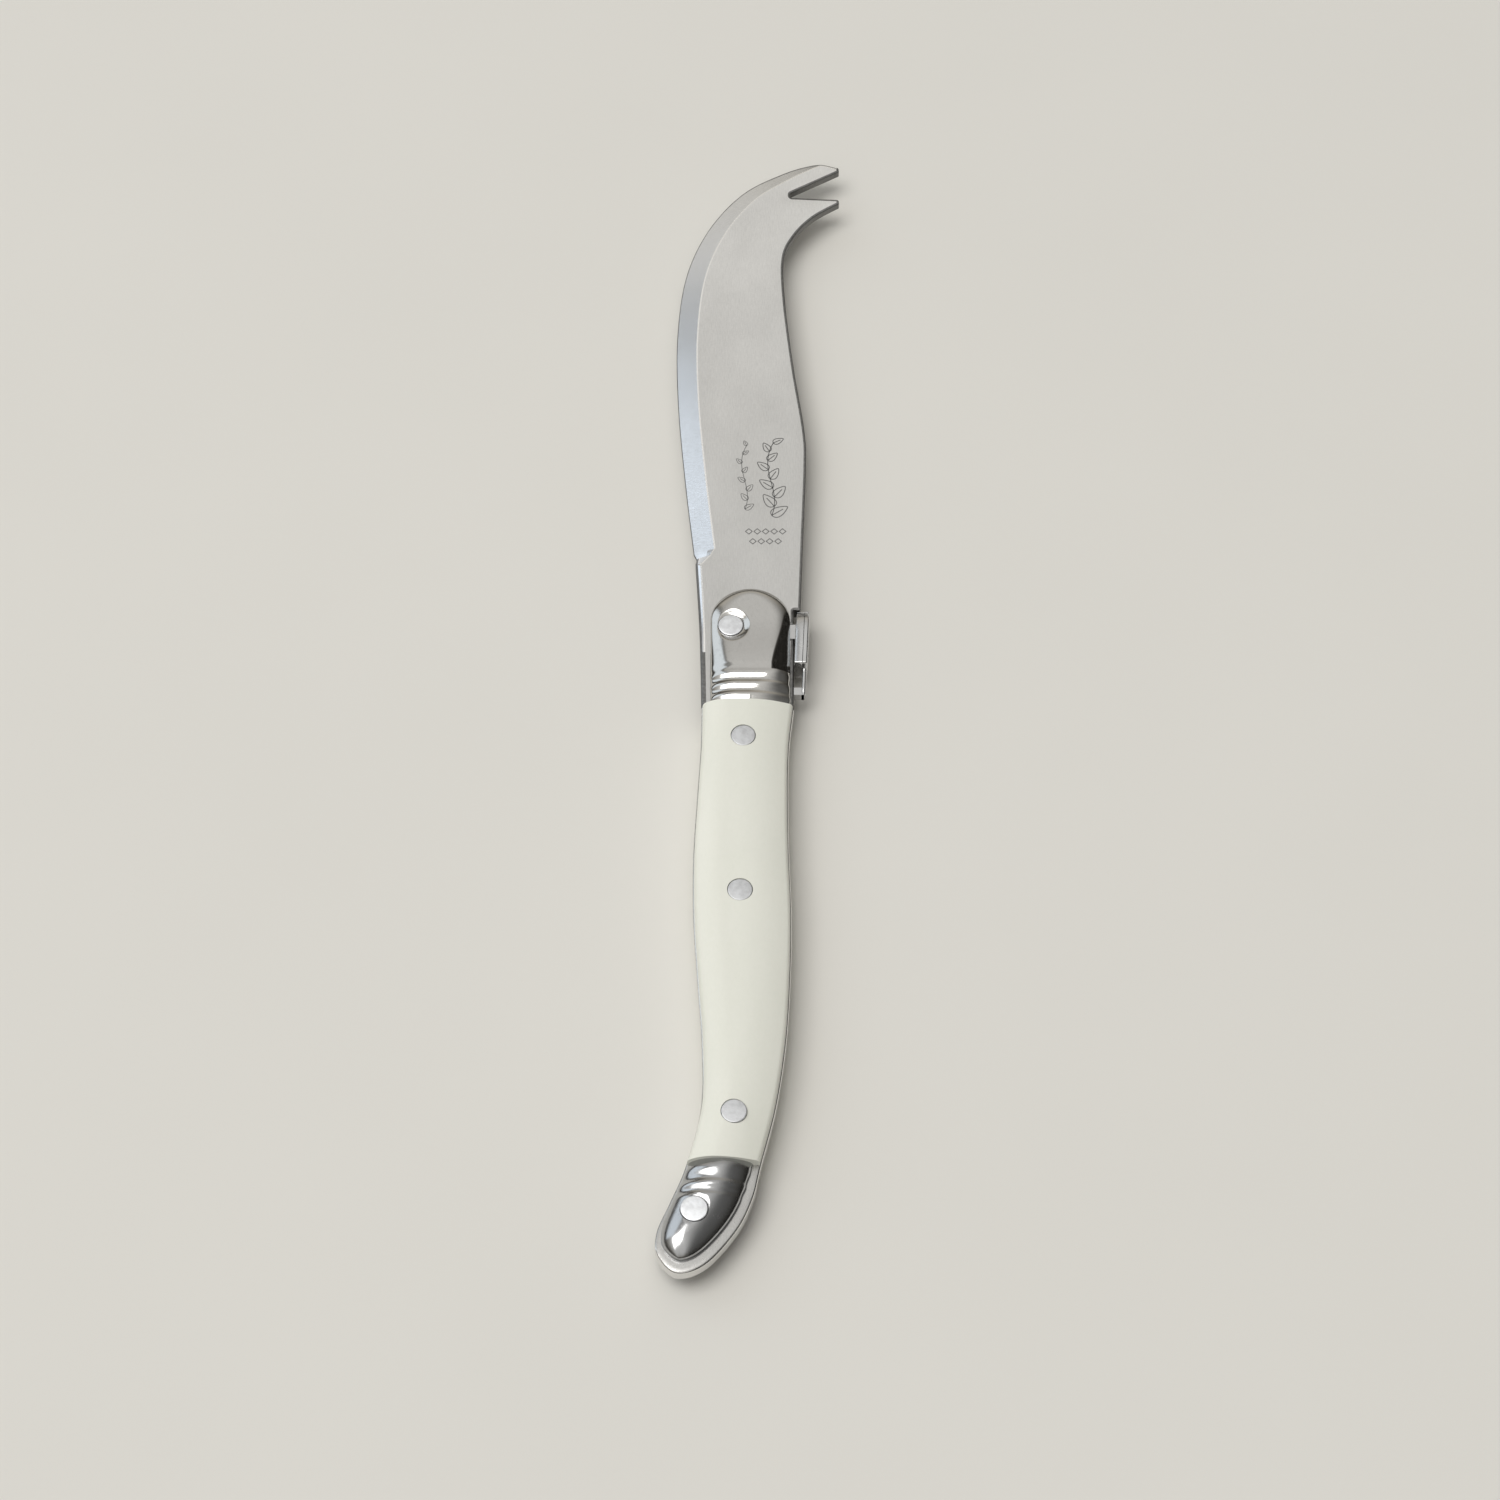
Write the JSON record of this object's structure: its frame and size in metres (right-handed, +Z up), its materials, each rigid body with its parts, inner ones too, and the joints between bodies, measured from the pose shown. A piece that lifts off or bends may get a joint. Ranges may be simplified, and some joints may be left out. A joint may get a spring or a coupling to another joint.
{
  "type": "fork-tipped cheese knife",
  "caption": "Full-tang cheese knife with a curved bevelled blade, forked tip, riveted ivory scales, polished bolsters and a spine ornament.",
  "frame": {"origin": "centre of the bounding box in plan, on the surface the knife lies on", "axes": "+Y from the butt towards the forked tip, +Z up through the thickness of the knife as it lies flat, +X from the cutting edge to the spine"},
  "size_m": [0.032, 0.2326, 0.0093],
  "materials": {
    "blade_steel": "fine satin with a mirror-ground bevel",
    "polished_steel": "polished",
    "ivory_plastic": "smooth semi-gloss",
    "bolster_rivet_metal": "faced flat, satin",
    "scale_rivet_metal": "ground flush, satin",
    "ornament_steel": "satin"
  },
  "bodies": {
    "root": {"blade": "blade_steel", "front_bolster_top": "polished_steel", "front_bolster_bottom": "polished_steel", "scale_top": "ivory_plastic", "scale_bottom": "ivory_plastic", "end_bolster_top": "polished_steel", "end_bolster_bottom": "polished_steel", "front_bolster_rivet": "bolster_rivet_metal", "scale_rivet_front": "scale_rivet_metal", "scale_rivet_middle": "scale_rivet_metal", "scale_rivet_rear": "scale_rivet_metal", "end_bolster_rivet": "bolster_rivet_metal", "spine_ornament": "ornament_steel"}
  },
  "joints": []
}
